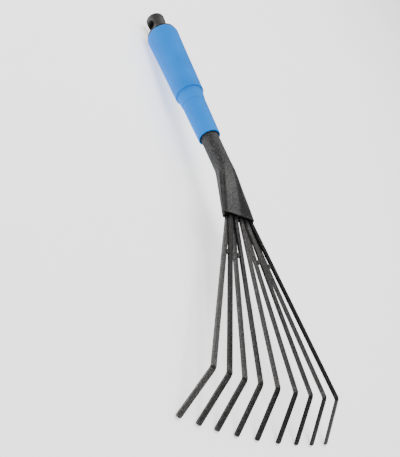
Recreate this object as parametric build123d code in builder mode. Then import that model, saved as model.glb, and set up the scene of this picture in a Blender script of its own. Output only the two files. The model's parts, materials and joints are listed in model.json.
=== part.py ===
from build123d import *
import os
from math import atan2, cos, hypot, radians, sin, tan

os.makedirs("parts", exist_ok=True)

# Hand rake: nine steel tines fan out of a flared tube neck, and a rubber grip sleeve and a
# hanging cap close the other end of the tube.  Millimetres.  +Y runs from the handle to the
# tines, +Z is up, and the rake lies on its nine tips and on the underside of the grip.

# Where the middle of the tube's mouth stands, and how far the fan slopes down to the tips
MOUTH_X = 1.9
MOUTH_Y = 31.0
MOUTH_Z = 36.21
FAN_SLOPE = 2.16

# Tube: round under the grip, bent at the neck and flared into a wide flat mouth
TUBE_R = 8.0
WALL = 1.0
NECK_LENGTH = 50.0
NECK_BEND = 10.0
# Where the mouth's six sides start round the tube, in degrees up from its +X side
NECK_SIDES = (38, 0, -35, -145, -195, -270, -322)

# The mouth, seen from the tines: across and up from the tube's axis, and turned by the twist.
# Its +X side is pinched flat beyond the last tine, and its -X side stays round.
MOUTH_TWIST = 4.6
CREASE = (15.8, 3.6)
TOP_MIDDLE = (-3.0, 3.6)
ROUND_SHOULDER = (-19.5, 3.6)
ROUND_SIDE = (-20.9, -0.4)
ROUND_HEEL = (-18.6, -4.5)
PINCH_HEEL = (12.8, -4.5)
PINCH_WAIST = (15.4, 0.4)
PINCH_TIP = (20.0, 2.7)
# Inside, the pinched walls meet here
CLOSED_CREASE = (12.4, 2.6)
CLOSED_TIP = (14.0, 2.1)
CLOSED_WAIST = (13.2, -0.4)

# Grip and cap, measured back along the handle from the neck
GRIP_START = 35.0
GRIP_RING = 76.0
GRIP_STEP = 88.0
STEP_DROP = 1.0
GRIP_END = 169.0
GRIP_LIP_R = 10.0
GRIP_RING_R = 10.9
GRIP_COLLAR_R = 12.0
GRIP_STEP_R = 13.3
GRIP_END_R = 15.2
END_ROUNDING = 2.0
LIP_BORE_R = 8.8
LIP_BORE_DEPTH = 6.0
TUBE_END = 165.0

CAP_END = 194.0
FLANGE_R = 14.0
FLANGE_THICKNESS = 1.8
FLANGE_RISE = 0.12
WAIST_R = 7.7
WAIST_AT = 179.5
HEAD_R = 8.6
HEAD_AT = 187.0
PLUG_LENGTH = 22.0
HANG_HOLE_R = 4.7
HANG_HOLE_AT = 182.5
HANG_HOLE_TURN = 25.0

# Tines: tapered strips in two layers, bent down near the tip.  Hand-welded, so the roots and
# the bends are not quite evenly spaced; the values run from the +X side to the -X side.
TINE_THICKNESS = 2.2
ROOT_WIDTH = 4.3
BEND_WIDTH = 4.6
ROOT_DEPTH = 6.0
ROOT_LIFT = -0.4
LAYER_OFFSET = 1.42
REACH = 150.0
REACH_SWEEP = 4.0
REACH_SKEW = 0.4
HOOK_LENGTH = 42.0
HOOK_ANGLE = 43.0
BEND_RADIUS = 4.0
TIP_CORNER = 1.5
ROOT_X = (9.1, 8.5, 3.0, 2.7, -4.1, -10.1, -10.5, -16.0, -16.5)
BEND_X = (80.5, 62.5, 44.5, 25.0, 2.5, -22.0, -44.0, -65.0, -85.0)
LAYER = (-1, 1, -1, 1, 1, -1, 1, -1, 1)

# Welds
WELD_BACK = -5.5
WELD_FRONT = -1.0
WELD_SLAB = 60.0
TACK_AT = 38.0
TACK_LENGTH = 5.0
TACK_R = 1.7
STACKED_PAIRS = ((0, 1), (2, 3), (5, 6), (7, 8))

# The fan plane: X across, Y forward through the mouth, Z out of the fan's upper side
slope = radians(FAN_SLOPE)
twist = radians(MOUTH_TWIST)
fan = Plane(origin=(MOUTH_X, MOUTH_Y, MOUTH_Z), x_dir=(1, 0, 0), z_dir=(0, sin(slope), cos(slope)))

# The handle plane: its Y runs back along the handle's axis, which drops away behind the neck
neck = fan.from_local_coords(Vector(0, -NECK_LENGTH, 0))
drop = radians(NECK_BEND) - slope
handle_dir = Vector(0, -cos(drop), -sin(drop))
handle = Plane(origin=neck, x_dir=(1, 0, 0), z_dir=Vector(1, 0, 0).cross(handle_dir))
handle_axis = Axis(neck, handle_dir)


def on_handle(distance):
    """A plane square to the handle's axis, at a distance behind the neck."""
    return Plane(origin=neck + handle_dir * distance, x_dir=(1, 0, 0), z_dir=handle_dir)


def round_section(inset):
    """The tube's round end of the neck, in the six arcs that the mouth's six sides grow from."""
    plane = Plane(origin=neck, x_dir=(1, 0, 0), z_dir=handle_dir)
    with BuildSketch(plane) as section:
        with BuildLine():
            for start, end in zip(NECK_SIDES, NECK_SIDES[1:]):
                CenterArc((0, 0), TUBE_R - inset, start, end - start)
        make_face()
    return section.sketch


def mouth_section(crease, tip, waist, inset):
    """The flared mouth: two flat sides on top, a round end, a flat bottom and a pinched end."""
    top_middle = (TOP_MIDDLE[0], TOP_MIDDLE[1] - inset)
    shoulder = (ROUND_SHOULDER[0] + inset, ROUND_SHOULDER[1] - inset)
    side = (ROUND_SIDE[0] + inset, ROUND_SIDE[1])
    round_heel = (ROUND_HEEL[0] + inset, ROUND_HEEL[1] + inset)
    pinch_heel = (PINCH_HEEL[0] - inset, PINCH_HEEL[1] + inset)
    across = fan.x_dir * cos(twist) - fan.z_dir * sin(twist)
    plane = Plane(origin=fan.origin, x_dir=across, z_dir=-fan.y_dir)
    with BuildSketch(plane) as section:
        with BuildLine():
            Line(crease, tip)
            ThreePointArc(tip, waist, pinch_heel)
            Line(pinch_heel, round_heel)
            ThreePointArc(round_heel, side, shoulder)
            Line(shoulder, top_middle)
            Line(top_middle, crease)
        make_face()
    return section.sketch


outer_sections = [round_section(0), mouth_section(CREASE, PINCH_TIP, PINCH_WAIST, 0)]
inner_sections = [round_section(WALL), mouth_section(CLOSED_CREASE, CLOSED_TIP, CLOSED_WAIST, WALL)]

# Handle tube: one steel tube from the cap to the flared mouth
with BuildPart() as handle_tube:
    with BuildSketch(on_handle(0)):
        Circle(TUBE_R)
    extrude(amount=TUBE_END)
    loft(sections=outer_sections)
    with BuildSketch(on_handle(0)):
        Circle(TUBE_R - WALL)
    extrude(amount=TUBE_END, mode=Mode.SUBTRACT)
    loft(sections=inner_sections, mode=Mode.SUBTRACT)
handle_tube.part.label = "handle_tube"

# Grip sleeve: rubber, turned about the handle's axis, stepped down to a slimmer front end
with BuildPart() as grip_sleeve:
    with BuildSketch(handle):
        with BuildLine():
            Polyline(
                (TUBE_R, GRIP_END),
                (GRIP_END_R, GRIP_END),
                (GRIP_STEP_R, GRIP_STEP),
                (GRIP_COLLAR_R, GRIP_STEP - STEP_DROP),
                (GRIP_RING_R, GRIP_RING),
                (GRIP_LIP_R, GRIP_START),
                (LIP_BORE_R, GRIP_START),
                (LIP_BORE_R, GRIP_START + LIP_BORE_DEPTH),
                (TUBE_R, GRIP_START + LIP_BORE_DEPTH),
                close=True,
            )
        make_face()
    revolve(axis=handle_axis)
    end_rim = grip_sleeve.edges().filter_by(GeomType.CIRCLE).sort_by(SortBy.RADIUS)[-1]
    fillet(end_rim, radius=END_ROUNDING)
grip_sleeve.part.label = "grip_sleeve"

# Hang cap: a plug pressed into the tube, a thin flange over the sleeve's end, a flared neck
# and a round head with a hole through it for a hook
flange_top = GRIP_END + FLANGE_THICKNESS
plug_r = TUBE_R - WALL
with BuildPart() as hang_cap:
    with BuildSketch(handle):
        with BuildLine():
            Line((0, GRIP_END - PLUG_LENGTH), (plug_r, GRIP_END - PLUG_LENGTH))
            Line((plug_r, GRIP_END - PLUG_LENGTH), (plug_r, TUBE_END))
            Line((plug_r, TUBE_END), (TUBE_R, TUBE_END))
            Line((TUBE_R, TUBE_END), (TUBE_R, GRIP_END))
            Line((TUBE_R, GRIP_END), (FLANGE_R, GRIP_END))
            Line((FLANGE_R, GRIP_END), (FLANGE_R, flange_top))
            Spline(
                (FLANGE_R, flange_top),
                (WAIST_R, WAIST_AT),
                tangents=((-1, FLANGE_RISE), (0, 1)),
            )
            Spline((WAIST_R, WAIST_AT), (HEAD_R, HEAD_AT), tangents=((0, 1), (0, 1)))
            Spline((HEAD_R, HEAD_AT), (0, CAP_END), tangents=((0, 1), (-1, 0)))
            Line((0, CAP_END), (0, GRIP_END - PLUG_LENGTH))
        make_face()
    revolve(axis=handle_axis)
    hole_centre = handle.from_local_coords(Vector(0, HANG_HOLE_AT, 0))
    turn = radians(HANG_HOLE_TURN)
    hole_dir = handle.x_dir * cos(turn) + handle.z_dir * sin(turn)
    with BuildSketch(Plane(origin=hole_centre, x_dir=handle_dir, z_dir=hole_dir)):
        Circle(HANG_HOLE_R)
    extrude(amount=2 * HEAD_R, both=True, mode=Mode.SUBTRACT)
hang_cap.part.label = "hang_cap"


def tine_numbers(index):
    """Root height, plan length and plan heading of one tine, and its bend's place in the fan."""
    across = 4 - index
    bend = (BEND_X[index], REACH - REACH_SWEEP * (across / 4) ** 2 - REACH_SKEW * across)
    run = (bend[0] - ROOT_X[index], bend[1])
    heading = atan2(run[0], run[1])
    lift = ROOT_LIFT + LAYER_OFFSET * LAYER[index] - ROOT_X[index] * tan(twist)
    return lift, hypot(*run), heading


# Tines: each a strip, tapered in plan and bent in its own upright plane
tines = []
for index in range(len(ROOT_X)):
    lift, plan_length, heading = tine_numbers(index)
    ahead = fan.x_dir * sin(heading) + fan.y_dir * cos(heading)
    across = fan.x_dir * cos(heading) - fan.y_dir * sin(heading)
    root = fan.from_local_coords(Vector(ROOT_X[index], 0, 0))
    side_plane = Plane(origin=root, x_dir=ahead, z_dir=across)
    top_plane = Plane(origin=root, x_dir=across, z_dir=fan.z_dir)
    root_back = ROOT_DEPTH / cos(heading)
    hook = radians(HOOK_ANGLE)
    hook_end = (plan_length + HOOK_LENGTH * cos(hook), -HOOK_LENGTH * sin(hook))
    back_lift = lift * (1 + root_back / plan_length)
    with BuildPart() as tine:
        with BuildSketch(side_plane):
            with BuildLine():
                FilletPolyline((-root_back, back_lift), (plan_length, 0), hook_end, radius=BEND_RADIUS)
            trace(line_width=TINE_THICKNESS)
        extrude(amount=BEND_WIDTH / 2, both=True)
        with BuildSketch(top_plane):
            with BuildLine():
                Polyline(
                    (-ROOT_WIDTH / 2, -2 * root_back),
                    (ROOT_WIDTH / 2, -2 * root_back),
                    (BEND_WIDTH / 2, plan_length),
                    (BEND_WIDTH / 2, plan_length + HOOK_LENGTH),
                    (-BEND_WIDTH / 2, plan_length + HOOK_LENGTH),
                    (-BEND_WIDTH / 2, plan_length),
                    close=True,
                )
            make_face()
        extrude(amount=2 * HOOK_LENGTH, both=True, mode=Mode.INTERSECT)
        tip_edges = tine.edges().filter_by(
            lambda edge: abs(edge.length - TINE_THICKNESS) < 0.01
        ).sort_by(Axis.Z)[:2]
        fillet(tip_edges, radius=TIP_CORNER)
    tine.part.label = f"tine_{index + 1}"
    tines.append(tine)

# Root weld: filler inside the mouth, round the tine roots and onto the tube's inner wall
with BuildPart() as root_weld:
    loft(sections=inner_sections)
    with BuildSketch(Plane(origin=fan.from_local_coords(Vector(0, WELD_BACK, 0)),
                           x_dir=(1, 0, 0), z_dir=fan.y_dir)):
        Rectangle(WELD_SLAB, WELD_SLAB)
    extrude(amount=WELD_FRONT - WELD_BACK, mode=Mode.INTERSECT)
    for tine in tines:
        add(tine.part, mode=Mode.SUBTRACT)
root_weld.part.label = "root_weld"

# Tack welds: a short bead in the crevice of each stacked pair, just in front of the mouth
with BuildPart() as tack_welds:
    for first, second in STACKED_PAIRS:
        places = []
        for index in (first, second):
            lift, plan_length, heading = tine_numbers(index)
            share = TACK_AT / (plan_length * cos(heading))
            x = ROOT_X[index] + (BEND_X[index] - ROOT_X[index]) * share
            places.append(Vector(x, TACK_AT, lift * (1 - share)))
        middle = fan.from_local_coords((places[0] + places[1]) * 0.5)
        mean_heading = (tine_numbers(first)[2] + tine_numbers(second)[2]) / 2
        bead_dir = fan.x_dir * sin(mean_heading) + fan.y_dir * cos(mean_heading)
        with BuildSketch(Plane(origin=middle, x_dir=fan.z_dir, z_dir=bead_dir)):
            Circle(TACK_R)
        extrude(amount=TACK_LENGTH / 2, both=True)
    for tine in tines:
        add(tine.part, mode=Mode.SUBTRACT)
tack_welds.part.label = "tack_welds"

for piece in [handle_tube, grip_sleeve, hang_cap, *tines, root_weld, tack_welds]:
    export_step(piece.part, f"parts/{piece.part.label}.step")
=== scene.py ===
"""Looks of the hand rake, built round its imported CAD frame.

The rake lies on its tine tips and on the underside of its grip.  +Y runs from the handle to the
tines, +X is towards tine_1 and +Z is up.  Sizes are in millimetres until a point is placed.
"""
import json
import math

import bmesh
import bpy
from mathutils import Matrix, Vector, noise


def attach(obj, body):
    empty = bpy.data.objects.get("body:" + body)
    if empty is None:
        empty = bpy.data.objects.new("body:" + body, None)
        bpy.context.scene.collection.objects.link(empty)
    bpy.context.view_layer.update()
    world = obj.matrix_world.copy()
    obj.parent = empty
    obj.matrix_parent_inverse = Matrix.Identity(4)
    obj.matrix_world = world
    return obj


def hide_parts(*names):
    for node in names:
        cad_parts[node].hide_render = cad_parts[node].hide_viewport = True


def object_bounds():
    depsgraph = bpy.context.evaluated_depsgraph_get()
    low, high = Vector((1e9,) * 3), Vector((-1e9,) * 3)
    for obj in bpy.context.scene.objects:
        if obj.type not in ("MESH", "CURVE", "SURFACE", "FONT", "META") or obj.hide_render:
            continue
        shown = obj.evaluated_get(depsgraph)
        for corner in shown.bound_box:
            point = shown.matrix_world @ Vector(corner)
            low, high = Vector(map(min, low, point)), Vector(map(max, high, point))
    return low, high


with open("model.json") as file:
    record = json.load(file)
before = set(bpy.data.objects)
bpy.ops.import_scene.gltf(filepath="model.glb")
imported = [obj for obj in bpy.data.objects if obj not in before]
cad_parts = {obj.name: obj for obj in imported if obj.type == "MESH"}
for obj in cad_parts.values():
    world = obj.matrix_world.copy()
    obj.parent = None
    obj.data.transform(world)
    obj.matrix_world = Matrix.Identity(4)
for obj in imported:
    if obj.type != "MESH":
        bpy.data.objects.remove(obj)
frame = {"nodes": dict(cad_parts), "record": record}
cad_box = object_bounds()

MM = 0.001
AXIS_X = Vector((1, 0, 0))
# Gap left between pieces that touch, so that their surfaces don't coincide
FIT_GAP = 0.02

# The fan's plane slopes down to the tips, and the handle drops away behind the neck
FAN_SLOPE = math.radians(2.16)
NECK_BEND = math.radians(10.0)
NECK_LENGTH = 50.0

# Tube, and where the mouth's six sides start round it, in degrees up from its +X side
TUBE_R = 8.0
WALL = 1.0
TUBE_END = 165.0
NECK_SIDES = (38, 0, -35, -145, -195, -270, -322)

# Corners of the mouth: across and up from the tube's axis, and turned by the twist
MOUTH_TWIST = math.radians(4.6)
CREASE = (15.8, 3.6)
PINCH_TIP = (20.0, 2.7)
PINCH_WAIST = (15.4, 0.4)
PINCH_HEEL = (12.8, -4.5)
ROUND_HEEL = (-18.6, -4.5)
ROUND_SIDE = (-20.9, -0.4)
ROUND_SHOULDER = (-19.5, 3.6)
TOP_MIDDLE = (-3.0, 3.6)
# The same pinched corners inside, where only a seam is left open
SEAM_CREASE = (12.4, 2.6)
SEAM_TIP = (18.2, 2.25)
SEAM_WAIST = (13.4, -0.2)

# Grip and cap, as distances behind the neck
GRIP_START = 35.0
GRIP_RING = 76.0
GRIP_STEP = 88.0
GRIP_END = 169.0
GRIP_LIP_R = 10.0
GRIP_RING_R = 10.9
GRIP_COLLAR_R = 12.0
GRIP_STEP_R = 13.3
GRIP_END_R = 15.2
LIP_BORE_R = 8.8
LIP_BORE_DEPTH = 6.0
CAP_END = 194.0
FLANGE_R = 14.0
FLANGE_THICKNESS = 1.8
WAIST_R = 7.7
WAIST_AT = 179.5
HEAD_R = 8.6
HEAD_AT = 187.0
PLUG_LENGTH = 22.0
HANG_HOLE_AT = 182.5

# Tines, from the +X side to the -X side; the strips' taper starts behind the mouth
TINE_THICKNESS = 2.2
ROOT_WIDTH = 4.3
BEND_WIDTH = 4.6
ROOT_DEPTH = 6.0
TAPER_START = 12.0
ROOT_LIFT = -0.4
LAYER_OFFSET = 1.42
REACH = 150.0
REACH_SWEEP = 4.0
REACH_SKEW = 0.4
HOOK_LENGTH = 42.0
HOOK_ANGLE = math.radians(43.0)
BEND_RADIUS = 4.0
TIP_CORNER = 1.5
ROOT_X = (9.1, 8.5, 3.0, 2.7, -4.1, -10.1, -10.5, -16.0, -16.5)
BEND_X = (80.5, 62.5, 44.5, 25.0, 2.5, -22.0, -44.0, -65.0, -85.0)
LAYER = (-1, 1, -1, 1, 1, -1, 1, -1, 1)

# Camera, at the photograph's view: its place in metres, and its backward and upward directions
CAMERA_PLACE = Vector((0.59072, 0.39925, 0.36991))
CAMERA_BACK = Vector((0.74346, 0.4777, 0.46804))
CAMERA_UP = Vector((0.25035, -0.84776, 0.46758))
CAMERA_LENS = 73.3

# Light, in metres and watts; the floor glows faintly so that its shadows stay pale
FLOOR_GLOW = 1.1
FLOOR_REACH = 9.0
FLOOR_GAP = 0.0002
WORLD_STRENGTH = 0.28
LAMP_SIZE = 0.8
KEY_PLACE = (-0.45, -0.6, 0.95)
KEY_POWER = 7.5
OVERHEAD_PLACE = (0.35, -0.15, 1.2)
OVERHEAD_POWER = 18.0

# The hang hole's place in the record fixes the handle's axis, and that fixes the rest
hang_hole = frame["record"]["mounts"][0]
drop = NECK_BEND - FAN_SLOPE
handle_dir = Vector((0, -math.cos(drop), -math.sin(drop)))
handle_up = Vector((0, -math.sin(drop), math.cos(drop)))
fan_y = Vector((0, math.cos(FAN_SLOPE), -math.sin(FAN_SLOPE)))
fan_z = Vector((0, math.sin(FAN_SLOPE), math.cos(FAN_SLOPE)))
neck = Vector(hang_hole["pos_m"]) - handle_dir * HANG_HOLE_AT * MM
mouth = neck + fan_y * NECK_LENGTH * MM
mouth_across = AXIS_X * math.cos(MOUTH_TWIST) - fan_z * math.sin(MOUTH_TWIST)
mouth_up = AXIS_X * math.sin(MOUTH_TWIST) + fan_z * math.cos(MOUTH_TWIST)


# ---------------------------------------------------------------- places and curves

def on_handle(distance, radius, turn):
    """A point round the handle's axis; turn is in radians up from the +X side."""
    out = AXIS_X * math.cos(turn) + handle_up * math.sin(turn)
    return neck + (handle_dir * distance + out * radius) * MM


def on_fan(x, y, z):
    """A point in the fan's plane axes, from the middle of the mouth."""
    return mouth + (AXIS_X * x + fan_y * y + fan_z * z) * MM


def in_mouth(across, up):
    """A point of the mouth's twisted section."""
    return mouth + (mouth_across * across + mouth_up * up) * MM


def smoothstep(low, high, value):
    """0 up to low and 1 from high on, with a smooth rise between them."""
    share = min(max((value - low) / (high - low), 0.0), 1.0)
    return share * share * (3 - 2 * share)


def bump(value, middle, spread):
    """A bell curve, 1 at the middle."""
    return math.exp(-((value - middle) / spread) ** 2)


def between(first, second, share):
    """The number at a share of the way from the first to the second."""
    return first + (second - first) * share


def straight(start, end, count):
    """Count points from start up to, and without, end."""
    return [Vector(start).lerp(Vector(end), i / count) for i in range(count)]


def arc_through(start, middle, end, count):
    """Count points of the circular arc through three points, without its end."""
    a, b, c = Vector(start), Vector(middle), Vector(end)
    d = 2 * ((b - a).x * (c - a).y - (b - a).y * (c - a).x)
    ab, ac = (b - a).length_squared, (c - a).length_squared
    centre = a + Vector(((c - a).y * ab - (b - a).y * ac, (b - a).x * ac - (c - a).x * ab)) / d
    first = math.atan2((a - centre).y, (a - centre).x)
    sweep = math.atan2((c - centre).y, (c - centre).x) - first
    turning = 1 if (b - a).x * (c - b).y - (b - a).y * (c - b).x > 0 else -1
    sweep = sweep % (2 * math.pi) if turning > 0 else -((-sweep) % (2 * math.pi))
    radius = (a - centre).length
    turns = [first + sweep * i / count for i in range(count)]
    return [centre + Vector((math.cos(t), math.sin(t))) * radius for t in turns]


def softened(ring, passes):
    """A closed ring with its corners rounded."""
    for _ in range(passes):
        after = ring[1:] + ring[:1]
        before = ring[-1:] + ring[:-1]
        ring = [(a + b * 2 + c) / 4 for a, b, c in zip(before, ring, after)]
    return ring


# ---------------------------------------------------------------- meshes

def new_object(name, points, faces):
    """A bare mesh object in the scene."""
    mesh = bpy.data.meshes.new(name)
    mesh.from_pydata([tuple(p) for p in points], [], faces)
    made = bpy.data.objects.new(name, mesh)
    bpy.context.scene.collection.objects.link(made)
    return made


def add_marks(piece, marks):
    """Point attributes that the materials read, each from 0 to 1: worn places with a painted highlight
    and painted shade mixed in, tone with painted light mixed in, and painted shade.
    """
    for mark, values in marks.items():
        attribute = piece.data.attributes.new(mark, "FLOAT", "POINT")
        attribute.data.foreach_set("value", values)


def new_piece(name, points, faces, node_names, material, marks):
    """A smooth-shaded mesh object that rides on the body and stands for CAD nodes."""
    piece = new_object(name, points, faces)
    piece.data.validate()
    add_marks(piece, marks)
    finish_piece(piece, node_names, material)


def finish_piece(piece, node_names, material):
    """Turns the normals outwards, sets the material and ties the piece to the frame."""
    mesh_edit = bmesh.new()
    mesh_edit.from_mesh(piece.data)
    bmesh.ops.recalc_face_normals(mesh_edit, faces=mesh_edit.faces)
    mesh_edit.to_mesh(piece.data)
    mesh_edit.free()
    piece.data.shade_smooth()
    piece.data.materials.clear()
    piece.data.materials.append(material)
    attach(piece, "root")
    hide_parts(*node_names)


def tube_faces(ring_count, ring_size, closed=False):
    """Quads between consecutive rings; closed joins the last ring to the first."""
    faces = []
    for row in range(ring_count if closed else ring_count - 1):
        here = row * ring_size
        there = (row + 1) % ring_count * ring_size
        for i in range(ring_size):
            j = (i + 1) % ring_size
            faces.append((here + i, here + j, there + j, there + i))
    return faces


def end_faces(ring_count, ring_size):
    """One face over each end of a stack of rings."""
    last = (ring_count - 1) * ring_size
    return [tuple(reversed(range(ring_size))), tuple(range(last, last + ring_size))]


def settle(piece):
    """Make the piece's modifiers part of its mesh."""
    depsgraph = bpy.context.evaluated_depsgraph_get()
    depsgraph.update()
    mesh = bpy.data.meshes.new_from_object(piece.evaluated_get(depsgraph))
    piece.modifiers.clear()
    piece.data = mesh


def remesh(piece, voxel, smoothing):
    """Rebuild the piece as even small faces and relax its hard corners."""
    modifier = piece.modifiers.new("even", "REMESH")
    modifier.mode = "VOXEL"
    modifier.voxel_size = voxel * MM
    relax = piece.modifiers.new("relax", "SMOOTH")
    relax.factor = 0.5
    relax.iterations = smoothing
    settle(piece)


# ---------------------------------------------------------------- materials

# Noise scales, in features per metre, and how strong each noise's finer layers are
NOISE_ROUGHNESS = 0.55
COAT_GRAIN = 900.0
COAT_FINE = 2400.0
COAT_DRIFT = 60.0
RUBBER_GRAIN = 1500.0
RUBBER_DRIFT = 38.0
PLASTIC_GRAIN = 1900.0
PLASTIC_DRIFT = 90.0
PAPER_DRIFT = 6.0

# Base colours, linear
COAT_DARK = (0.002, 0.0019, 0.0018)
COAT_LIGHT = (0.053, 0.051, 0.0498)
# Pale coat of worn places, also used for painted light and the painted highlight
COAT_WORN_AND_LIT = (0.17, 0.162, 0.158)
WELD_DARK = (0.005, 0.005, 0.005)
WELD_LIGHT = (0.05, 0.048, 0.046)
RUBBER_DEEP = (0.0, 0.17, 0.6)
RUBBER_BRIGHT = (0.0, 0.195, 0.68)
# Dark blue of the painted shade in the grip's grooves
RUBBER_GROOVE_SHADE = (0.001, 0.07, 0.38)
PLASTIC_DARK = (0.014, 0.013, 0.0125)
PLASTIC_LIGHT = (0.024, 0.022, 0.021)
# Pale plastic of the rubbed rims, also their painted highlight
PLASTIC_RUBBED_AND_LIT = (0.1, 0.095, 0.09)
# Near-black of the painted shade
PAINTED_SHADE_BLACK = (0.002, 0.002, 0.002)
PAPER_DARK = (0.93, 0.93, 0.93)
PAPER_LIGHT = (0.96, 0.96, 0.96)

# Parts of a noise's range: its middle; where the coat's grains turn pale, where its pale clouds
# lie, where it takes up tone and painted light and where it scuffs and shows the painted highlight;
# where the rubber brightens; and where the plastic rubs pale and shows the painted highlight
MIDDLE_CUT = (0.3, 0.7)
GRAIN_CUT = (0.78, 0.92)
CLOUD_CUT = (0.4, 0.75)
TONE_CUT = (0.55, 0.95)
SCUFF_AND_HIGHLIGHT_CUT = (0.42, 0.62)
MOTTLE_CUT = (0.35, 0.65)
RUB_AND_HIGHLIGHT_CUT = (0.35, 0.6)

# How strong the fine noise, the clouds, the scuffs with the painted highlight, the painted shade in the
# grooves and the rubbed edges with their painted highlight are
FINE_SHARE = 0.5
CLOUD_SHARE = 0.3
SCUFF_AND_HIGHLIGHT_SHARE = 0.4
GROOVE_SHADE_SHARE = 0.35
RUB_AND_HIGHLIGHT_SHARE = 0.3

# What a noise's range is turned into: the gain of the tone and its painted light, and roughness
TONE_GAIN = (0.35, 1.5)
COAT_ROUGHNESS = (0.42, 0.6)
RUBBER_ROUGHNESS = (0.44, 0.56)
PLASTIC_ROUGHNESS = (0.4, 0.58)
# The coat's gloss falls with the painted shade, over this range of its mark; the rest is even all over
GLOSS_PAINTED_SHADE = (0.0, 0.8)
COAT_GLOSS = (0.38, 0.06)
RUBBER_GLOSS = 0.1
PAPER_GLOSS = 0.1
PAPER_ROUGHNESS = 0.9


def new_material(name):
    material = bpy.data.materials.new(name)
    material.use_nodes = True
    tree = material.node_tree
    return material, tree, tree.nodes["Principled BSDF"]


def add_noise(tree, scale, detail):
    """A noise texture over the object's own coordinates; scale is in features per metre."""
    place = tree.nodes.new("ShaderNodeTexCoord")
    texture = tree.nodes.new("ShaderNodeTexNoise")
    texture.inputs["Scale"].default_value = scale
    texture.inputs["Detail"].default_value = detail
    texture.inputs["Roughness"].default_value = NOISE_ROUGHNESS
    tree.links.new(place.outputs["Object"], texture.inputs["Vector"])
    return texture.outputs["Fac"]


def add_range(tree, value, low, high, to_low=0.0, to_high=1.0):
    """Maps low..high of a value to to_low..to_high, clamped."""
    node = tree.nodes.new("ShaderNodeMapRange")
    node.inputs["From Min"].default_value = low
    node.inputs["From Max"].default_value = high
    node.inputs["To Min"].default_value = to_low
    node.inputs["To Max"].default_value = to_high
    tree.links.new(value, node.inputs["Value"])
    return node.outputs["Result"]


def add_math(tree, operation, first, second):
    """Combines a socket with a number or with another socket."""
    node = tree.nodes.new("ShaderNodeMath")
    node.operation = operation
    for socket, value in zip(node.inputs, (first, second)):
        if isinstance(value, float):
            socket.default_value = value
        else:
            tree.links.new(value, socket)
    return node.outputs["Value"]


def add_mix(tree, share, first, second):
    """Mixes two colours, each a colour or a socket, by a share from a socket."""
    node = tree.nodes.new("ShaderNodeMix")
    node.data_type = "RGBA"
    tree.links.new(share, node.inputs["Factor"])
    for name, value in (("A", first), ("B", second)):
        socket = [s for s in node.inputs if s.name == name and s.type == "RGBA"][0]
        if isinstance(value, tuple):
            socket.default_value = (*value, 1.0)
        else:
            tree.links.new(value, socket)
    return [s for s in node.outputs if s.type == "RGBA"][0]


def add_mark(tree, name):
    """Reads one of the point attributes that add_marks writes."""
    node = tree.nodes.new("ShaderNodeAttribute")
    node.attribute_name = name
    return node.outputs["Fac"]


def add_bumps(tree, shader, layers):
    """Stacks bump layers of (height socket, strength, distance in millimetres)."""
    normal = None
    for height, strength, distance in layers:
        node = tree.nodes.new("ShaderNodeBump")
        node.inputs["Strength"].default_value = strength
        node.inputs["Distance"].default_value = distance * MM
        tree.links.new(height, node.inputs["Height"])
        if normal:
            tree.links.new(normal, node.inputs["Normal"])
        normal = node.outputs["Normal"]
    tree.links.new(normal, shader.inputs["Normal"])


def powder_coat(name, dark, light):
    """Textured black powder coat: pale grains, uneven tone with painted light, worn edges with a painted
    highlight, and painted shade.
    """
    material, tree, shader = new_material(name)
    grain = add_noise(tree, COAT_GRAIN, detail=1.0)
    fine = add_noise(tree, COAT_FINE, detail=2.0)
    drift = add_noise(tree, COAT_DRIFT, detail=3.0)
    rough = add_math(tree, "ADD", grain, add_math(tree, "MULTIPLY", fine, FINE_SHARE))
    grained = add_mix(tree, add_range(tree, rough, *GRAIN_CUT), dark, light)
    clouds = add_range(tree, drift, *CLOUD_CUT, 0.0, CLOUD_SHARE)
    cloudy = add_mix(tree, clouds, grained, light)
    # The tone mark, painted light included, pales the grains
    on_grains = add_range(tree, rough, *TONE_CUT, *TONE_GAIN)
    paleness = add_math(tree, "MULTIPLY", add_mark(tree, "tone"), on_grains)
    toned = add_mix(tree, paleness, cloudy, COAT_WORN_AND_LIT)
    # Worn places, and the painted highlight, scuff to the pale coat
    scuff_and_highlight = add_math(tree, "MULTIPLY", add_mark(tree, "wear_and_painted_light"), add_range(tree, grain, *SCUFF_AND_HIGHLIGHT_CUT))
    scuffed_and_highlit = add_mix(tree, add_math(tree, "MULTIPLY", scuff_and_highlight, SCUFF_AND_HIGHLIGHT_SHARE), toned, COAT_WORN_AND_LIT)
    # Painted shade: near-black where the shade mark is set
    coloured = add_mix(tree, add_mark(tree, "painted_shade"), scuffed_and_highlit, PAINTED_SHADE_BLACK)
    tree.links.new(coloured, shader.inputs["Base Color"])
    roughness = add_range(tree, fine, *MIDDLE_CUT, *COAT_ROUGHNESS)
    tree.links.new(roughness, shader.inputs["Roughness"])
    # The painted shade also dulls the gloss
    gloss = add_range(tree, add_mark(tree, "painted_shade"), *GLOSS_PAINTED_SHADE, *COAT_GLOSS)
    tree.links.new(gloss, shader.inputs["Specular IOR Level"])
    add_bumps(tree, shader, [(drift, 0.25, 0.35), (grain, 1.0, 0.6), (fine, 0.6, 0.12)])
    return material


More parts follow.
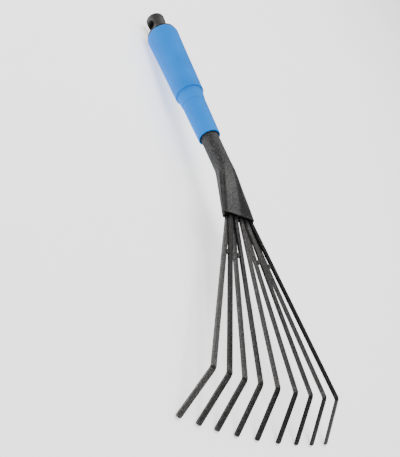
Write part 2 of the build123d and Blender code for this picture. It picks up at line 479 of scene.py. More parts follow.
def grip_rubber(name):
    """Smooth blue rubber: satin, barely mottled, with a faint moulded grain and painted shade in its
    grooves.
    """
    material, tree, shader = new_material(name)
    drift = add_noise(tree, RUBBER_DRIFT, detail=2.0)
    grain = add_noise(tree, RUBBER_GRAIN, detail=2.0)
    body = add_mix(tree, add_range(tree, drift, *MOTTLE_CUT), RUBBER_DEEP, RUBBER_BRIGHT)
    # Painted shade in the grooves
    groove_shade = add_math(tree, "MULTIPLY", add_mark(tree, "wear_and_painted_light"), GROOVE_SHADE_SHARE)
    coloured = add_mix(tree, groove_shade, body, RUBBER_GROOVE_SHADE)
    tree.links.new(coloured, shader.inputs["Base Color"])
    roughness = add_range(tree, drift, *MIDDLE_CUT, *RUBBER_ROUGHNESS)
    tree.links.new(roughness, shader.inputs["Roughness"])
    shader.inputs["Specular IOR Level"].default_value = RUBBER_GLOSS
    add_bumps(tree, shader, [(drift, 0.1, 0.3), (grain, 0.12, 0.05)])
    return material


def cap_plastic(name):
    """Fine matte charcoal plastic with a soft sheen, paler rubbed edges with a painted highlight, and
    painted shade.
    """
    material, tree, shader = new_material(name)
    drift = add_noise(tree, PLASTIC_DRIFT, detail=3.0)
    grain = add_noise(tree, PLASTIC_GRAIN, detail=2.0)
    body = add_mix(tree, add_range(tree, drift, *MIDDLE_CUT), PLASTIC_DARK, PLASTIC_LIGHT)
    rubbed_and_lit = add_math(tree, "MULTIPLY", add_mark(tree, "wear_and_painted_light"), add_range(tree, grain, *RUB_AND_HIGHLIGHT_CUT))
    worn_and_lit = add_mix(tree, add_math(tree, "MULTIPLY", rubbed_and_lit, RUB_AND_HIGHLIGHT_SHARE), body, PLASTIC_RUBBED_AND_LIT)
    # Painted shade: near-black where the shade mark is set
    coloured = add_mix(tree, add_mark(tree, "painted_shade"), worn_and_lit, PAINTED_SHADE_BLACK)
    tree.links.new(coloured, shader.inputs["Base Color"])
    roughness = add_range(tree, grain, *MIDDLE_CUT, *PLASTIC_ROUGHNESS)
    tree.links.new(roughness, shader.inputs["Roughness"])
    add_bumps(tree, shader, [(grain, 0.3, 0.06), (drift, 0.15, 0.25)])
    return material


def stage_paper(name):
    """The pale floor, which glows faintly."""
    material, tree, shader = new_material(name)
    tone = add_range(tree, add_noise(tree, PAPER_DRIFT, detail=2.0), *MIDDLE_CUT)
    tree.links.new(add_mix(tree, tone, PAPER_DARK, PAPER_LIGHT), shader.inputs["Base Color"])
    shader.inputs["Roughness"].default_value = PAPER_ROUGHNESS
    shader.inputs["Emission Color"].default_value = (1.0, 1.0, 1.0, 1.0)
    shader.inputs["Emission Strength"].default_value = FLOOR_GLOW
    shader.inputs["Specular IOR Level"].default_value = PAPER_GLOSS
    return material


# ---------------------------------------------------------------- tube and neck

# Points along each of the mouth's six sides
RING_POINTS = (8, 22, 62, 22, 34, 40)
# Rings of the tube: far apart under the grip, close together where it shows, then the neck's
HIDDEN_RINGS = 14
HIDDEN_SPACING = 9.0
SHOWN_RINGS = 21
SHOWN_SPACING = 2.0
NECK_RINGS = 40

# The pressed crease: its depth, its width and how far along the neck it is at full depth
CREASE_DEPTH = 0.7
CREASE_SPREAD = 1.5
CREASE_FULL = 0.35

# The pressed ridge: its height, and its top and its two feet across the mouth.  Its far foot
# keeps a fifth of the height.  The power moves its highest place along the neck.
RIDGE_RISE = 2.4
RIDGE_AT = -8.0
RIDGE_NEAR_FOOT = 12.0
RIDGE_FAR_FOOT = -21.0
RIDGE_FAR_DROP = 0.8
RIDGE_POWER = 0.75
# How much the ridge widens the neck, and from where to where this sets in towards the -X end
RIDGE_WIDEN = 2.4
WIDEN_FROM = (8.0, 20.0)

# The mouth's edge: how near the mouth it starts, its roll through the wall as (share of the
# wall, forward), and the wear on the last two rings before it
EDGE_SHARE = 0.994
EDGE_ROLL = ((0.12, 0.24), (0.35, 0.3), (0.65, 0.3), (0.88, 0.24))
EDGE_WEAR = (0.3, 0.6)

# Paleness of the tube, painted light on the neck's flat face, and where across the mouth the face ends
TUBE_TONE = 0.03
FACE_PAINTED_LIGHT = 0.1
FACE_LIMIT = (12.5, 15.0)
# Painted shade on the facet beyond the face, where the two meet, and how gradually
FAR_SHADE = 0.5
FACET_EDGE = -2.0
FACET_BLEND = 2.0
# Painted shade on the pinched side, and where across the mouth it sets in
SIDE_SHADE = 0.3
SIDE_FROM = (10.0, 13.0)
# Painted shade in the crease, and its spread
CREASE_SHADE = 0.6
CREASE_SHADE_SPREAD = 2.2
# Painted shade on the tube's low side, and the sine of the downward turn from which it is full
LOW_SHADE = 0.4
LOW_SHADE_FULL = 0.65
# Painted shade under the pinched end, beyond and below this point of the mouth
PINCH_SHADE = 0.75
UNDER_PINCH = (12.0, 2.4)
# Painted shade on the mouth's outer edge and on everything inside it
EDGE_SHADE = 0.6
INSIDE_SHADE = 0.92
# From where to where along the neck each of these sets in
FACES_FROM = (0.05, 0.4)
LOW_SIDE_FADE = (0.3, 0.8)
PINCH_FROM = (0.8, 0.95)


def mouth_ring(crease, tip, waist, inset):
    """The mouth's closed outline as flat points, from the crease round by the pinched end."""
    pinch_heel = (PINCH_HEEL[0] - inset, PINCH_HEEL[1] + inset)
    round_heel = (ROUND_HEEL[0] + inset, ROUND_HEEL[1] + inset)
    side = (ROUND_SIDE[0] + inset, ROUND_SIDE[1])
    shoulder = (ROUND_SHOULDER[0] + inset, ROUND_SHOULDER[1] - inset)
    top_middle = (TOP_MIDDLE[0], TOP_MIDDLE[1] - inset)
    ring = straight(crease, tip, RING_POINTS[0])
    ring += arc_through(tip, waist, pinch_heel, RING_POINTS[1])
    ring += straight(pinch_heel, round_heel, RING_POINTS[2])
    ring += arc_through(round_heel, side, shoulder, RING_POINTS[3])
    ring += straight(shoulder, top_middle, RING_POINTS[4])
    ring += straight(top_middle, crease, RING_POINTS[5])
    return ring


def neck_turns():
    """The turns round the tube that the mouth's outline points grow from."""
    turns = []
    for start, end, count in zip(NECK_SIDES, NECK_SIDES[1:], RING_POINTS):
        turns += [math.radians(start + (end - start) * i / count) for i in range(count)]
    return turns


outer_mouth = softened(mouth_ring(CREASE, PINCH_TIP, PINCH_WAIST, inset=0.0), passes=3)
inner_mouth = softened(mouth_ring(SEAM_CREASE, SEAM_TIP, SEAM_WAIST, inset=WALL), passes=2)


def from_crease(point):
    """A mouth point's distance from the crease."""
    return (point - Vector(CREASE)).length


def crease_dent(outline, share):
    """How deep each outline point sinks into the pressed crease, in millimetres."""
    deepen = CREASE_DEPTH * smoothstep(0.0, CREASE_FULL, share)
    return [deepen * bump(from_crease(point), 0.0, CREASE_SPREAD) for point in outline]


def ridge_lift(point, share):
    """The rise and the widening of the pressed ridge, which the mouth itself doesn't have."""
    swell = math.sin(math.pi * share ** RIDGE_POWER)
    widen = RIDGE_WIDEN * swell * smoothstep(*WIDEN_FROM, -point.x)
    if point.y < 0:
        return 0.0, widen
    if point.x > RIDGE_AT:
        height = smoothstep(-RIDGE_NEAR_FOOT, -RIDGE_AT, -point.x)
    else:
        height = 1 - RIDGE_FAR_DROP * smoothstep(-RIDGE_AT, -RIDGE_FAR_FOOT, -point.x)
    return RIDGE_RISE * swell * height, widen


def neck_ring(share, outline, radius, dented):
    """A ring of the neck, at a share of the way from the round tube to the mouth."""
    ring = []
    # The ridge stays under the top of the CAD box
    highest = cad_box[1][2] - (TUBE_R - radius) * MM
    dents = crease_dent(outline, share) if dented else [0.0] * len(outline)
    for turn, point, dent in zip(neck_turns(), outline, dents):
        round_end = on_handle(0.0, radius, turn)
        flat_end = in_mouth(point.x, point.y)
        rise, widen = ridge_lift(point, share)
        moved = mouth_up * (rise - dent) - mouth_across * widen
        place = round_end.lerp(flat_end, share) + moved * MM
        place.z = min(place.z, highest)
        ring.append(place)
    return ring


def facet_light_and_shade(point):
    """The painted light and the painted shade on the coat at a point of the mouth's outline."""
    on_side = SIDE_SHADE * smoothstep(*SIDE_FROM, point.x)
    if point.y < 0:
        return 0.0, on_side
    past_face = smoothstep(*FACE_LIMIT, point.x)
    on_face = smoothstep(FACET_EDGE - FACET_BLEND, FACET_EDGE + FACET_BLEND, point.x)
    in_crease = CREASE_SHADE * bump(from_crease(point), 0.0, CREASE_SHADE_SPREAD)
    dark = max(in_crease, FAR_SHADE * (1 - on_face), on_side * past_face)
    return FACE_PAINTED_LIGHT * on_face * (1 - past_face), dark


def neck_marks(share, low_side):
    """The tone with its painted light, and the painted shade, of the neck's outer ring at a share of the
    way to the mouth.
    """
    spread = smoothstep(*FACES_FROM, share)
    low_share = 1 - smoothstep(*LOW_SIDE_FADE, share)
    pinch_shade = PINCH_SHADE * smoothstep(*PINCH_FROM, share)
    tone, painted_shade = [], []
    for point, low in zip(outer_mouth, low_side):
        pale, dark = facet_light_and_shade(point)
        pinched = point.x > UNDER_PINCH[0] and point.y < UNDER_PINCH[1]
        tone.append(TUBE_TONE + pale * spread)
        painted_shade.append(max(dark * spread, pinch_shade if pinched else 0.0, low * low_share))
    return tone, painted_shade


def build_tube(material):
    """The steel tube: straight under the grip, bent at the neck, with a rolled mouth edge."""
    turns = neck_turns()
    size = len(turns)
    # Painted shade along the tube's low side
    low_side = [LOW_SHADE * smoothstep(0.0, LOW_SHADE_FULL, -math.sin(turn)) for turn in turns]
    hidden = [TUBE_END - HIDDEN_SPACING * i for i in range(HIDDEN_RINGS)]
    shown = [SHOWN_SPACING * (SHOWN_RINGS - i) for i in range(SHOWN_RINGS)]
    shares = [i / NECK_RINGS for i in range(1, NECK_RINGS)]
    rings = []
    marks = {"wear_and_painted_light": [], "tone": [], "painted_shade": []}

    def add_ring(ring, wear_and_painted_light, tone, painted_shade):
        """Adds a ring with its marks, each one value or a list of one for each point."""
        rings.append(ring)
        for mark, value in (("wear_and_painted_light", wear_and_painted_light), ("tone", tone), ("painted_shade", painted_shade)):
            marks[mark] += value if isinstance(value, list) else [value] * size

    def add_inside(ring):
        add_ring(ring, 0.0, 0.0, INSIDE_SHADE)

    for distance in hidden:
        add_ring([on_handle(distance, TUBE_R, turn) for turn in turns], 0.0, TUBE_TONE, 0.0)
    for distance in shown:
        add_ring([on_handle(distance, TUBE_R, turn) for turn in turns], 0.0, TUBE_TONE, low_side)
    neck_wear = [0.0] * (len(shares) - len(EDGE_WEAR)) + list(EDGE_WEAR)
    for share, wear_and_painted_light in zip(shares, neck_wear):
        add_ring(neck_ring(share, outer_mouth, TUBE_R, True), wear_and_painted_light, *neck_marks(share, low_side))
    outer_edge = neck_ring(EDGE_SHARE, outer_mouth, TUBE_R, True)
    inner_edge = neck_ring(EDGE_SHARE, inner_mouth, TUBE_R - WALL, False)
    # Painted shade on the mouth's edge and everything inside it
    add_ring(outer_edge, 0.0, 0.0, EDGE_SHADE)
    for inward, forward in EDGE_ROLL:
        lift = fan_y * forward * MM
        add_inside([a.lerp(b, inward) + lift for a, b in zip(outer_edge, inner_edge)])
    add_inside(inner_edge)
    for share in reversed(shares):
        add_inside(neck_ring(share, inner_mouth, TUBE_R - WALL, False))
    for distance in reversed(hidden + shown):
        add_inside([on_handle(distance, TUBE_R - WALL, turn) for turn in turns])
    points = [point for ring in rings for point in ring]
    faces = tube_faces(len(rings), size, closed=True)
    new_piece("bent_tube", points, faces, ["handle_tube"], material, marks)


# ---------------------------------------------------------------- tines

# A strip's section: its corner radius, at most this share of half a side, and the steps round
# each corner and along each side, from the wide top on
CORNER_R = 0.28
CORNER_LIMIT = 0.6
CORNER_STEPS = 4
SIDE_STEPS = (6, 3, 6, 3)

# Stations along a strip: their spacing before the bend, how many there are in the bend, on the
# hook and at the tip, and how far from the tip the hook's own stop
REACH_SPACING = 2.0
BEND_STEPS = 12
HOOK_STEPS = 20
TIP_STEPS = 6
TIP_CLEAR = 2.0

# The bend: a crease pressed into its top, shallower from strip to strip, with painted shade in it,
# a bulge on its underside, and a painted highlight just before it
BEND_CREASE = 0.3
BEND_CREASE_FADE = 0.08
BEND_CREASE_AT = 0.62
BEND_CREASE_SPREAD = 0.65
BEND_CREASE_SHADE = 0.8
BEND_BULGE = 0.035
BEND_BULGE_SPREAD = 2.0
HIGHLIGHT_PATCH_AT = -2.4
HIGHLIGHT_PATCH_SPREAD = 2.6
HIGHLIGHT_PATCH_STRENGTH = 0.7
HIGHLIGHT_PATCH_TONE = 0.12

# The tip thins a little at its very end; corners and tips are worn
TIP_THINNING = 0.3
TIP_THIN_LENGTH = 0.4
TIP_WEAR_LENGTH = 3.0
CORNER_WEAR = 0.55

# Unevenness of the hand-cut strips: its height, and its frequency across, along and from
# strip to strip
WOBBLE = 0.06
WOBBLE_SCALE = (0.4, 0.09, 7.0)

# The mouth's shadow on the strips: its darkness and the lengths over which it fades
GLOOM = 0.9
GLOOM_FADE = (1.0, 9.0)

# Painted light and shade on each strip: how pale it is at its root, before its bend and on its
# hook, how far from the mouth the first gives way to the second, and how dark it is before its bend and
# on its hook
ROOT_PAINTED_LIGHT = (0.15, 0.0, 0.04, 0.0, 0.12, 0.25, 0.22, 0.1, 0.0)
REACH_PAINTED_LIGHT = (0.22, 0.0, 0.09, 0.04, 0.12, 0.08, 0.06, 0.08, 0.0)
HOOK_PAINTED_LIGHT = (0.32, 0.14, 0.1, 0.05, 0.0, 0.0, 0.0, 0.0, 0.12)
ROOT_LIGHT_REACH = 70.0
REACH_SHADE = (0.0, 0.35, 0.0, 0.15, 0.0, 0.1, 0.15, 0.1, 0.65)
HOOK_SHADE = (0.0, 0.1, 0.15, 0.25, 0.5, 0.6, 0.6, 0.5, 0.2)


def strip_section(half_width, half_thickness):
    """A rounded rectangle as (across, up, edge) points; edge is 1 on its corners."""
    radius = min(CORNER_R, half_width * CORNER_LIMIT, half_thickness * CORNER_LIMIT)
    inner = (half_width - radius, half_thickness - radius)
    signs = ((1, 1), (-1, 1), (-1, -1), (1, -1))

    def on_corner(corner, quarters):
        turn = math.radians(90 * quarters)
        sign_x, sign_y = signs[corner % 4]
        return (sign_x * inner[0] + radius * math.cos(turn), sign_y * inner[1] + radius * math.sin(turn))

    section = []
    for corner, steps in enumerate(SIDE_STEPS):
        for i in range(CORNER_STEPS + 1):
            section.append((*on_corner(corner, corner + i / CORNER_STEPS), 1.0))
        x, y, _ = section[-1]
        goal_x, goal_y = on_corner(corner + 1, corner + 1)
        for i in range(1, steps):
            section.append((between(x, goal_x, i / steps), between(y, goal_y, i / steps), 0.0))
    return section


def tine_path(index):
    """One tine's heading, its run to the bend, its stations, and where its bend and hook end.

    Each station is (place, angle, past) in the tine's own upright plane: the place is (along,
    up) from its root, and past is the length of strip from the start of the bend.
    """
    across = 4 - index
    bend = Vector((BEND_X[index], REACH - REACH_SWEEP * (across / 4) ** 2 - REACH_SKEW * across))
    run = bend - Vector((ROOT_X[index], 0.0))
    heading = math.atan2(run.x, run.y)
    length = run.length
    lift = ROOT_LIFT + LAYER_OFFSET * LAYER[index] - ROOT_X[index] * math.tan(MOUTH_TWIST)
    back = ROOT_DEPTH / math.cos(heading)
    start = Vector((-back, lift * (1 + back / length)))
    corner = Vector((length, 0.0))
    slope = math.atan2(-start.y, length + back)
    turn = HOOK_ANGLE + slope
    trim = BEND_RADIUS * math.tan(turn / 2)
    reach_dir = Vector((math.cos(slope), math.sin(slope)))
    hook_dir = Vector((math.cos(HOOK_ANGLE), -math.sin(HOOK_ANGLE)))
    reach_length = (corner - start).length - trim
    bend_length = BEND_RADIUS * turn
    hook_length = HOOK_LENGTH - trim
    stations = []
    reach_steps = int(reach_length / REACH_SPACING)
    for i in range(reach_steps):
        distance = reach_length * i / reach_steps
        stations.append((start + reach_dir * distance, slope, distance - reach_length))
    centre = start + reach_dir * reach_length + Vector((reach_dir.y, -reach_dir.x)) * BEND_RADIUS
    for i in range(BEND_STEPS):
        angle = slope - turn * i / BEND_STEPS
        out = Vector((-math.sin(angle), math.cos(angle)))
        stations.append((centre + out * BEND_RADIUS, angle, bend_length * i / BEND_STEPS))
    plain = [hook_length * i / HOOK_STEPS for i in range(HOOK_STEPS)]
    on_hook = [distance for distance in plain if distance < hook_length - TIP_CLEAR]
    for step in range(TIP_STEPS, -1, -1):
        back_off = TIP_CORNER * (1 - math.cos(math.radians(90 / TIP_STEPS * step)))
        on_hook.append(hook_length - back_off)
    for distance in on_hook:
        stations.append((corner + hook_dir * (trim + distance), -HOOK_ANGLE, bend_length + distance))
    return heading, length, stations, bend_length, bend_length + hook_length


def tip_rounding(from_end):
    """How far the strip's sides draw in near its tip."""
    if from_end >= TIP_CORNER:
        return 0.0
    return TIP_CORNER - math.sqrt(max(TIP_CORNER ** 2 - (TIP_CORNER - from_end) ** 2, 0.0))


def build_tine(index, material):
    """One strip: tapered in plan, rounded along its corners, bent and creased near the tip."""
    heading, length, stations, bend_end, strip_end = tine_path(index)
    ahead = Vector((math.sin(heading), math.cos(heading)))
    across = Vector((math.cos(heading), -math.sin(heading)))
    taper_back = TAPER_START / math.cos(heading)
    crease_at = bend_end * BEND_CREASE_AT
    crease = BEND_CREASE * (1 - BEND_CREASE_FADE * index)
    points = []
    marks = {"wear_and_painted_light": [], "tone": [], "painted_shade": []}
    for place, angle, past in stations:
        taper = min(1.0, (place.x + taper_back) / (length + taper_back))
        from_end = strip_end - past
        half_width = between(ROOT_WIDTH, BEND_WIDTH, taper) / 2 - tip_rounding(from_end)
        thinning = TIP_THINNING * max(0.0, 1 - from_end / TIP_THIN_LENGTH) ** 2
        half_thickness = TINE_THICKNESS / 2 - thinning
        up = Vector((-math.sin(angle), math.cos(angle)))
        near_crease = bump(past, crease_at, BEND_CREASE_SPREAD)
        near_bend = bump(past, bend_end / 2, BEND_BULGE_SPREAD)
        highlight_patch = bump(past, HIGHLIGHT_PATCH_AT, HIGHLIGHT_PATCH_SPREAD)
        from_root = smoothstep(0, ROOT_LIGHT_REACH, place.x)
        onto_hook = smoothstep(0.0, bend_end, past)
        # Painted light and painted shade of this strip, from root to hook
        paleness = between(ROOT_PAINTED_LIGHT[index], REACH_PAINTED_LIGHT[index], from_root)
        paleness += (HOOK_PAINTED_LIGHT[index] - REACH_PAINTED_LIGHT[index]) * onto_hook
        gloom = GLOOM * (1 - smoothstep(*GLOOM_FADE, place.x))
        shade = max(gloom, between(REACH_SHADE[index], HOOK_SHADE[index], onto_hook))
        tip_wear = max(0.0, 1 - from_end / TIP_WEAR_LENGTH)
        for side, rise, edge in strip_section(half_width, half_thickness):
            on_top = 1.0 if rise > 0 else 0.0
            below = 1.0 if rise < 0 else 0.0
            seed = Vector((side * WOBBLE_SCALE[0], past * WOBBLE_SCALE[1], index * WOBBLE_SCALE[2]))
            raised = rise - crease * near_crease * on_top + WOBBLE * noise.noise(seed)
            bulge = 1 + BEND_BULGE * near_bend * below
            x, y = ahead * (place.x + up.x * raised) + across * side * bulge
            points.append(on_fan(ROOT_X[index] + x, y, place.y + up.y * raised))
            # Worn corners and tips, the painted highlight before the bend, and painted shade in the
            # crease
            marks["wear_and_painted_light"].append(min(1.0, CORNER_WEAR * edge + HIGHLIGHT_PATCH_STRENGTH * highlight_patch + tip_wear))
            marks["tone"].append(max(0.0, paleness + HIGHLIGHT_PATCH_TONE * highlight_patch * on_top))
            marks["painted_shade"].append(max(shade, BEND_CREASE_SHADE * near_crease * on_top))
    size = len(points) // len(stations)
    faces = tube_faces(len(stations), size)
    for row in (0, len(stations) - 1):
        faces += close_end(points, marks, row, size)
    name = f"strip_tine_{index + 1}"
    new_piece(name, points, faces, [f"tine_{index + 1}"], material, marks)


def close_end(points, marks, row, size):
    """Triangles from a ring to a new point in its middle."""
    first = row * size
    ring = points[first:first + size]
    points.append(sum(ring, Vector()) / size)
    for values in marks.values():
        values.append(values[first])
    middle = len(points) - 1
    return [(first + i, first + (i + 1) % size, middle) for i in range(size)]


# ---------------------------------------------------------------- grip

GRIP_AROUND = 144

# The upper end's rounding, and the slight hollow of the upper length
END_LENGTH = 4.6
END_DROP = 1.9
END_STEPS = 10
GRIP_HOLLOW = 0.12

# Where the upper length and the collar stop and start at the step, and the step's rounding
ABOVE_STEP = 1.2
BELOW_STEP = 1.0
STEP_ROUNDING = 0.7
# The step's foot and the ring's groove, as (distance past them, depth)
STEP_FOOT = ((0.35, -0.25), (0.9, 0.0))
RING_GROOVE = ((-0.3, 0.0), (0.0, 0.16), (0.4, 0.2), (1.0, 0.12))
RING_DROP = 0.06
# The lip, its bore and the sleeve's bore behind it
LIP_ROUNDING = 0.45
BORE_ROUNDING = 0.3
BORE_STRAIGHT = 2.0
BORE_LENGTH = 60.0

# Painted shade in the grooves at the step and at the ring, as (distance, spread)
GROOVES = ((GRIP_STEP - 0.4, 0.9), (GRIP_RING - 0.3, 0.5))


def lathe(profile, around):
    """Rings round the handle's axis for (distance, radius) profile points."""
    turns = [2 * math.pi * i / around for i in range(around)]
    return [[on_handle(distance, radius, turn) for turn in turns] for distance, radius in profile]


def quarter(centre, radius, start, end, steps):
    """Profile points of a small rounding, from one angle in degrees to another."""
    turns = [math.radians(start + (end - start) * i / steps) for i in range(steps + 1)]
    return [(centre[0] + radius * math.sin(t), centre[1] + radius * math.cos(t)) for t in turns]


def grip_profile():
    """The sleeve's outline from its upper end to its lip and in to the bore."""
    outline = [(GRIP_END, TUBE_R), (GRIP_END, GRIP_END_R - END_DROP)]
    for step in range(1, END_STEPS + 1):
        turn = math.radians(90 / END_STEPS * step)
        outline.append((GRIP_END - END_LENGTH * (1 - math.cos(turn)),
                        GRIP_END_R - END_DROP * (1 - math.sin(turn))))

    # Upper length, from the rounded end to the step
    lean = (GRIP_END_R - GRIP_STEP_R) / (GRIP_END - GRIP_STEP)
    for share in (0.15, 0.3, 0.45, 0.6, 0.75, 0.9):
        at = between(GRIP_END - END_LENGTH, GRIP_STEP + ABOVE_STEP, share)
        hollow = GRIP_HOLLOW * math.sin(math.pi * share)
        outline.append((at, GRIP_STEP_R + lean * (at - GRIP_STEP) - hollow))
    step_centre = (GRIP_STEP + STEP_ROUNDING, GRIP_STEP_R - STEP_ROUNDING)
    outline += quarter(step_centre, STEP_ROUNDING, 0, -80, 6)
    outline += [(GRIP_STEP - past, GRIP_COLLAR_R - depth) for past, depth in STEP_FOOT]

    # Collar, from the step to the ring's groove
    for share in (0.25, 0.5, 0.75, 0.93):
        outline.append((between(GRIP_STEP - BELOW_STEP, GRIP_RING, share),
                        between(GRIP_COLLAR_R, GRIP_RING_R, share)))
    outline += [(GRIP_RING - past, GRIP_RING_R - depth) for past, depth in RING_GROOVE]

    # Lower length, the lip and the bore
    for share in (0.2, 0.4, 0.6, 0.8, 0.94):
        outline.append((between(GRIP_RING, GRIP_START, share),
                        GRIP_RING_R - RING_DROP + (GRIP_LIP_R - GRIP_RING_R) * share))
    lip_centre = (GRIP_START + LIP_ROUNDING, GRIP_LIP_R - LIP_ROUNDING)
    outline += quarter(lip_centre, LIP_ROUNDING, 0, -90, 5)
    bore_centre = (GRIP_START + BORE_ROUNDING, LIP_BORE_R + BORE_ROUNDING)
    outline += quarter(bore_centre, BORE_ROUNDING, -90, -180, 4)
    bore_r = TUBE_R + FIT_GAP
    counterbore = GRIP_START + LIP_BORE_DEPTH
    outline += [(GRIP_START + BORE_STRAIGHT, LIP_BORE_R), (counterbore, LIP_BORE_R),
                (counterbore, bore_r), (GRIP_START + BORE_LENGTH, bore_r)]
    return outline


def build_grip(material):
    """The rubber sleeve, turned round the handle's axis, with painted shade in its two grooves, carried
    in the wear mark.
    """
    profile = grip_profile()
    rings = lathe(profile, GRIP_AROUND)
    points = [point for ring in rings for point in ring]
    wear_and_painted_light = []
    for distance, _ in profile:
        # Painted shade in the grooves
        groove_shade = sum(bump(distance, at, spread) for at, spread in GROOVES)
        wear_and_painted_light += [min(1.0, groove_shade)] * GRIP_AROUND
    faces = tube_faces(len(rings), GRIP_AROUND, closed=True)
    marks = {"wear_and_painted_light": wear_and_painted_light}
    new_piece("rubber_sleeve", points, faces, ["grip_sleeve"], material, marks)


# ---------------------------------------------------------------- cap

CAP_AROUND = 128
CAP_VOXEL = 0.24
CAP_SMOOTHING = 6

# The plug, and the collar between the tube's end and the flange
PLUG_CHAMFER = 0.6
COLLAR_R = TUBE_R - 0.05
# The flange's two roundings, and how its shoulder flares out of the waist
FLANGE_UNDERSIDE = 0.33
FLANGE_ROUNDING = 0.5
WAIST_INSET = 0.6
WAIST_POWER = 3.2
# The head: its dome, its rounding as (along, across), the spare that the smoothing takes off,
# and how much shorter it is made so that it stays inside the CAD box
HEAD_DOME = 0.6
HEAD_ROUNDING = (2.7, 3.3)
HEAD_SPARE = 0.25
HEAD_SHORT = 0.15
HEAD_STEPS = 8
HEAD_STEP_ANGLE = 10
# Where the head's side starts past the waist and ends before HEAD_AT, as (distance, radius) added
HEAD_FOOT = (2.2, 0.12)
HEAD_BELLY = (-2.2, -0.22)
# Radius of the smallest ring, at the middle of each end
CENTRE_R = 0.05

# The hole's cutter, as (distance from the middle, added radius) out to each end
HOLE_AROUND = 96
HOLE_FLARE = ((6.5, 0.0), (7.5, 0.25), (8.3, 0.75), (14.0, 3.5))

# Rubbed rims, with a painted highlight: their place past the hole's radius, their spread and
# where they set in along the hole; and the painted shade at the flange's foot
RIM_AT = 0.6
RIM_SPREAD = 0.8
RIM_FROM = (5.5, 7.0)
FOOT_SHADE = 0.8
FOOT_LENGTH = 2.0


def cap_profile():
    """The cap's outline from the plug's end to the top of the head."""
    plug_r = TUBE_R - WALL - FIT_GAP
    plug_end = GRIP_END - PLUG_LENGTH
    flange_top = GRIP_END + FLANGE_THICKNESS
    head_end = CAP_END - HEAD_SHORT
    outline = [(plug_end, CENTRE_R), (plug_end, plug_r - PLUG_CHAMFER),
               (plug_end + PLUG_CHAMFER, plug_r), (TUBE_END, plug_r),
               (TUBE_END, COLLAR_R), (GRIP_END + FIT_GAP, COLLAR_R)]
    underside = (GRIP_END + FIT_GAP + FLANGE_UNDERSIDE, FLANGE_R - FLANGE_UNDERSIDE)
    outline += quarter(underside, FLANGE_UNDERSIDE, -90, 0, 4)
    rim = (flange_top - FLANGE_ROUNDING, FLANGE_R - FLANGE_ROUNDING)
    outline += quarter(rim, FLANGE_ROUNDING, 0, 80, 5)

    # Waist and neck, flaring into the flange
    for share in (0.1, 0.22, 0.36, 0.5, 0.65, 0.8, 0.92):
        flare = (1 - share) ** WAIST_POWER
        outline.append((between(flange_top, WAIST_AT, share),
                        between(WAIST_R, FLANGE_R - WAIST_INSET, flare)))
    waist_r = WAIST_R + HEAD_SPARE
    head_r = HEAD_R + HEAD_SPARE
    outline += [(WAIST_AT, waist_r), (WAIST_AT + HEAD_FOOT[0], waist_r + HEAD_FOOT[1]),
                (HEAD_AT + HEAD_BELLY[0], head_r + HEAD_BELLY[1])]

    # Head
    along, inward = HEAD_ROUNDING
    shoulder = (head_end - HEAD_DOME - along, head_r - inward)
    for step in range(HEAD_STEPS + 1):
        turn = math.radians(HEAD_STEP_ANGLE * step)
        outline.append((shoulder[0] + along * math.sin(turn), shoulder[1] + inward * math.cos(turn)))
    for share in (0.35, 0.7, 0.99):
        outline.append((head_end - HEAD_DOME * (1 - share) ** 2, shoulder[1] * (1 - share) + CENTRE_R))
    return outline


def build_cap(material):
    """The moulded cap, with its cross hole cut through and every edge softened."""
    rings = lathe(cap_profile(), CAP_AROUND)
    points = [point for ring in rings for point in ring]
    faces = tube_faces(len(rings), CAP_AROUND) + end_faces(len(rings), CAP_AROUND)
    cap = new_object("hanging_cap", points, faces)
    cutter = hole_cutter()
    cut = cap.modifiers.new("hole", "BOOLEAN")
    cut.operation = "DIFFERENCE"
    cut.object = cutter
    settle(cap)
    bpy.data.objects.remove(cutter)
    remesh(cap, CAP_VOXEL, CAP_SMOOTHING)
    mark_cap(cap)
    finish_piece(cap, ["hang_cap"], material)


def hole_line():
    """The hang hole's middle, its axis and its radius in millimetres."""
    centre = Vector(hang_hole["pos_m"])
    axis = Vector(hang_hole["axis"]).normalized()
    return centre, axis, hang_hole["dims"]["r_mm"]


def hole_cutter():
    """A round cutter along the hang hole, flared at both ends to soften the hole's rims."""
    centre, axis, radius = hole_line()
    side = axis.orthogonal().normalized()
    other = axis.cross(side)
    turns = [2 * math.pi * i / HOLE_AROUND for i in range(HOLE_AROUND)]
    flare = [(-along, grow) for along, grow in reversed(HOLE_FLARE)] + list(HOLE_FLARE)
    points = []
    for along, grow in flare:
        for turn in turns:
            out = side * math.cos(turn) + other * math.sin(turn)
            points.append(centre + (axis * along + out * (radius + grow)) * MM)
    faces = tube_faces(len(flare), HOLE_AROUND) + end_faces(len(flare), HOLE_AROUND)
    return new_object("cutter", points, faces)


def mark_cap(cap):
    """Mark the rims of the hole, rubbed pale and with a painted highlight, and the painted shade at the
    flange's foot.
    """
    centre, axis, radius = hole_line()
    foot = GRIP_END + FLANGE_THICKNESS
    wear_and_painted_light, painted_shade = [], []
    for vertex in cap.data.vertices:
        behind = (vertex.co - neck).dot(handle_dir) / MM
        # Painted shade at the flange's foot
        painted_shade.append(FOOT_SHADE * (1 - smoothstep(foot, foot + FOOT_LENGTH, behind)))
        offset = (vertex.co - centre) / MM
        along = offset.dot(axis)
        from_axis = (offset - axis * along).length
        # Rubbed rims, with a painted highlight
        near_rim = bump(from_axis, radius + RIM_AT, RIM_SPREAD)
        wear_and_painted_light.append(near_rim * smoothstep(*RIM_FROM, abs(along)))
    add_marks(cap, {"wear_and_painted_light": wear_and_painted_light, "painted_shade": painted_shade})


# ---------------------------------------------------------------- welds

WELD_SMOOTHING = 4
# Lumps of the run metal, in features per millimetre
LUMP_SCALE = 0.9


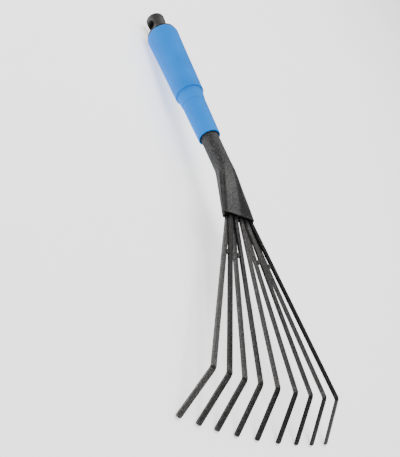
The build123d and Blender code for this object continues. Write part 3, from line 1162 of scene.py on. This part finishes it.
def shrink_beads(weld, size):
    """Draws each separate bead in towards its own middle, to a share of its size."""
    mesh_edit = bmesh.new()
    mesh_edit.from_mesh(weld.data)
    waiting = set(mesh_edit.verts)
    while waiting:
        bead, edge = set(), [waiting.pop()]
        while edge:
            vertex = edge.pop()
            bead.add(vertex)
            edge += [e.other_vert(vertex) for e in vertex.link_edges if e.other_vert(vertex) in waiting]
            waiting.difference_update(edge)
        in_order = sorted(bead, key=lambda vertex: vertex.index)
        middle = sum((vertex.co for vertex in in_order), Vector()) / len(bead)
        for vertex in bead:
            vertex.co = middle + (vertex.co - middle) * size
    mesh_edit.to_mesh(weld.data)
    mesh_edit.free()


def build_weld(node_name, name, material, voxel, lumps, tone, size=None):
    """A CAD weld solid remade as a lumpy run bead.

    Voxel and lumps are in millimetres.  Size, where given, draws its separate beads in.
    """
    weld = frame["nodes"][node_name].copy()
    weld.data = frame["nodes"][node_name].data.copy()
    weld.name = name
    weld.data.name = name
    weld.parent = None
    for key in list(weld.keys()):
        del weld[key]
    bpy.context.scene.collection.objects.link(weld)
    remesh(weld, voxel, WELD_SMOOTHING)
    if size:
        shrink_beads(weld, size)
    for vertex in weld.data.vertices:
        vertex.co += vertex.normal * lumps * MM * noise.noise(vertex.co / MM * LUMP_SCALE)
    count = len(weld.data.vertices)
    add_marks(weld, {"wear_and_painted_light": [0.0] * count, "tone": [tone] * count, "painted_shade": [0.0] * count})
    finish_piece(weld, [node_name], material)


# ---------------------------------------------------------------- stage, lights and camera

def build_stage():
    """A wide pale floor just under the rake."""
    ground = cad_box[0][2] - FLOOR_GAP
    signs = ((-1, -1), (1, -1), (1, 1), (-1, 1))
    corners = [(x * FLOOR_REACH, y * FLOOR_REACH, ground) for x, y in signs]
    floor = new_object("floor", corners, [(0, 1, 2, 3)])
    floor.data.materials.append(stage_paper("pale_floor"))


def add_area(name, place, power):
    """A soft square light that faces the middle of the rake."""
    lamp = bpy.data.lights.new(name, "AREA")
    lamp.shape = "SQUARE"
    lamp.size = LAMP_SIZE
    lamp.energy = power
    holder = bpy.data.objects.new(name, lamp)
    holder.location = place
    holder.rotation_euler = (-Vector(place)).to_track_quat("-Z", "Y").to_euler()
    bpy.context.scene.collection.objects.link(holder)


def build_light():
    """A white surround, a key light from beyond the handle and a stronger one overhead."""
    world = bpy.data.worlds.new("studio")
    world.use_nodes = True
    background = world.node_tree.nodes["Background"]
    background.inputs["Color"].default_value = (1.0, 1.0, 1.0, 1.0)
    background.inputs["Strength"].default_value = WORLD_STRENGTH
    bpy.context.scene.world = world
    add_area("key", KEY_PLACE, KEY_POWER)
    add_area("overhead", OVERHEAD_PLACE, OVERHEAD_POWER)


def build_camera():
    """The camera at the photograph's view, from its place and two of its directions."""
    data = bpy.data.cameras.new("camera")
    data.sensor_width = 36.0
    data.lens = CAMERA_LENS
    camera = bpy.data.objects.new("camera", data)
    back = CAMERA_BACK.normalized()
    right = CAMERA_UP.cross(back).normalized()
    up = back.cross(right)
    turn = Matrix((right, up, back)).transposed().to_4x4()
    camera.matrix_world = Matrix.Translation(CAMERA_PLACE) @ turn
    bpy.context.scene.collection.objects.link(camera)
    bpy.context.scene.camera = camera


coat = powder_coat("black_powder_coat", COAT_DARK, COAT_LIGHT)
build_tube(coat)
for tine_index in range(len(ROOT_X)):
    build_tine(tine_index, coat)
build_grip(grip_rubber("azure_rubber"))
build_cap(cap_plastic("charcoal_plastic"))
weld_coat = powder_coat("coated_weld", WELD_DARK, WELD_LIGHT)
build_weld("root_weld", "root_bead", weld_coat, voxel=0.35, lumps=0.25, tone=0.0)
build_weld("tack_welds", "tack_beads", weld_coat, voxel=0.25, lumps=0.15, tone=0.15, size=0.78)
build_stage()
build_light()
build_camera()
